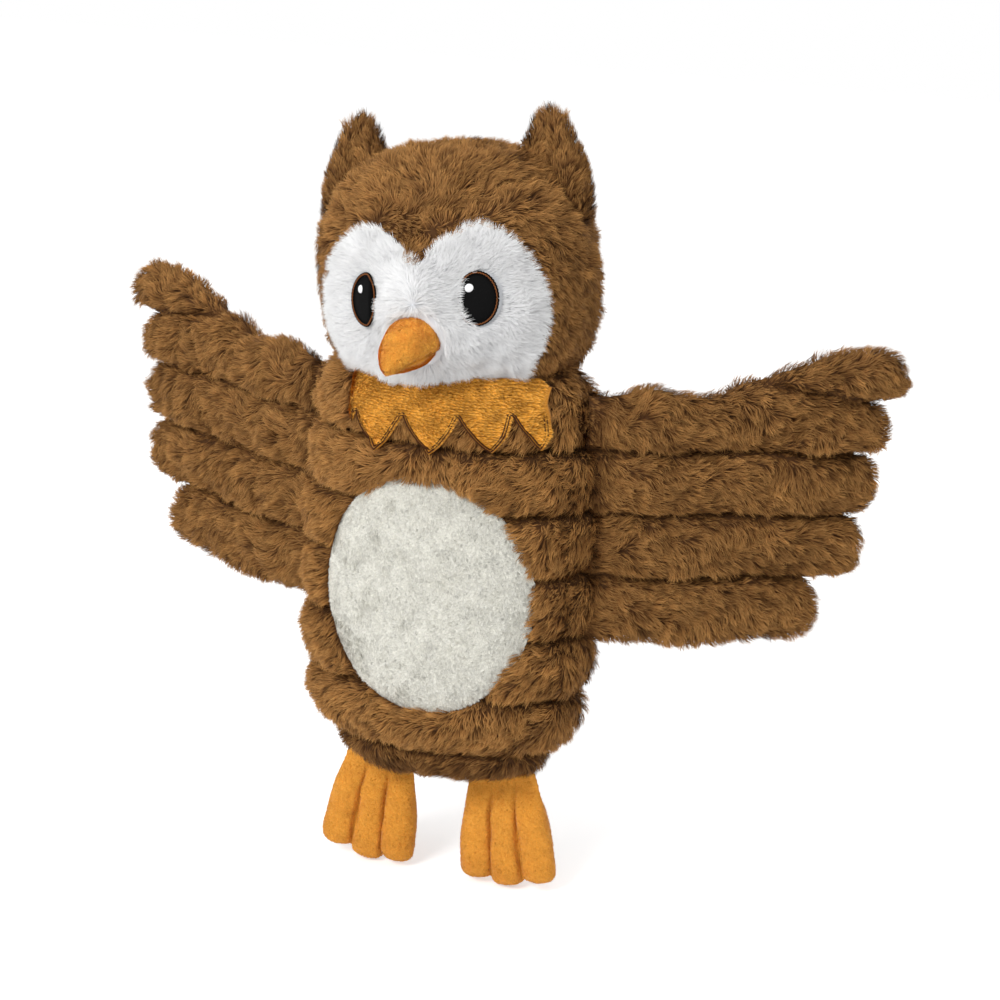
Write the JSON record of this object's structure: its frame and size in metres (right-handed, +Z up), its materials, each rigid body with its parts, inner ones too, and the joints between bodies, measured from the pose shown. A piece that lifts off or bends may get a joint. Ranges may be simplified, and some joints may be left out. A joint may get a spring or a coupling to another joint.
{
  "type": "plush owl",
  "caption": "Stuffed plush owl: channelled torso with belly patch and pointed collar, turning head with heart-shaped face, soft beak and ear tufts, spread channelled wings, hanging toed feet.",
  "frame": {"origin": "on the middle of the torso's back, on the crest of its third channel, where a hand holds the owl", "axes": "+Z up, the owl faces -Y, +X is its left side"},
  "size_m": [0.31, 0.1209, 0.294],
  "materials": {
    "brown_pile": "long brown plush pile",
    "white_pile": "white plush pile",
    "cream_nap": "short cream plush nap",
    "orange_nap": "short orange plush nap",
    "black_stitching": "glossy satin stitching",
    "brown_stitching": "satin stitching",
    "white_stitching": "satin stitching",
    "fibre_filling": "loose white fibre"
  },
  "bodies": {
    "torso": {"torso_front": "brown_pile", "torso_back": "brown_pile", "torso_filling": "fibre_filling", "belly_patch": "cream_nap", "collar": "orange_nap"},
    "head": {"head_hood": "brown_pile", "face_panel": "white_pile", "head_filling": "fibre_filling", "beak": "orange_nap", "beak_filling": "fibre_filling", "eye_left": "black_stitching", "eye_right": "black_stitching", "eye_rim_left": "brown_stitching", "eye_rim_right": "brown_stitching", "eye_glint_left": "white_stitching", "eye_glint_right": "white_stitching", "ear_left": "brown_pile", "ear_right": "brown_pile"},
    "wing_left": {"wing_front_left": "brown_pile", "wing_back_left": "brown_pile", "wing_filling_left": "fibre_filling"},
    "wing_right": {"wing_front_right": "brown_pile", "wing_back_right": "brown_pile", "wing_filling_right": "fibre_filling"},
    "foot_left": {"foot_front_left": "orange_nap", "foot_back_left": "orange_nap", "foot_filling_left": "fibre_filling"},
    "foot_right": {"foot_front_right": "orange_nap", "foot_back_right": "orange_nap", "foot_filling_right": "fibre_filling"}
  },
  "joints": [
    {"name": "head_turn", "type": "hinge", "parent": "torso", "child": "head", "pos_m": [0, -0.038, 0.0815], "axis": [0, 0, 1], "range_deg": [-20, 20], "stiffness_Nm_per_rad": 0.05},
    {"name": "wing_left_swing", "type": "hinge", "parent": "torso", "child": "wing_left", "pos_m": [0.058, -0.037, 0.0095], "axis": [0, 0, 1], "range_deg": [-95, 50], "stiffness_Nm_per_rad": 0.02},
    {"name": "wing_right_swing", "type": "hinge", "parent": "torso", "child": "wing_right", "pos_m": [-0.058, -0.037, 0.0095], "axis": [0, 0, 1], "range_deg": [-50, 95], "stiffness_Nm_per_rad": 0.02},
    {"name": "foot_left_swing", "type": "hinge", "parent": "torso", "child": "foot_left", "pos_m": [0.025, -0.038, -0.0765], "axis": [1, 0, 0], "range_deg": [-60, 60]},
    {"name": "foot_right_swing", "type": "hinge", "parent": "torso", "child": "foot_right", "pos_m": [-0.025, -0.038, -0.0765], "axis": [1, 0, 0], "range_deg": [-60, 60]}
  ]
}
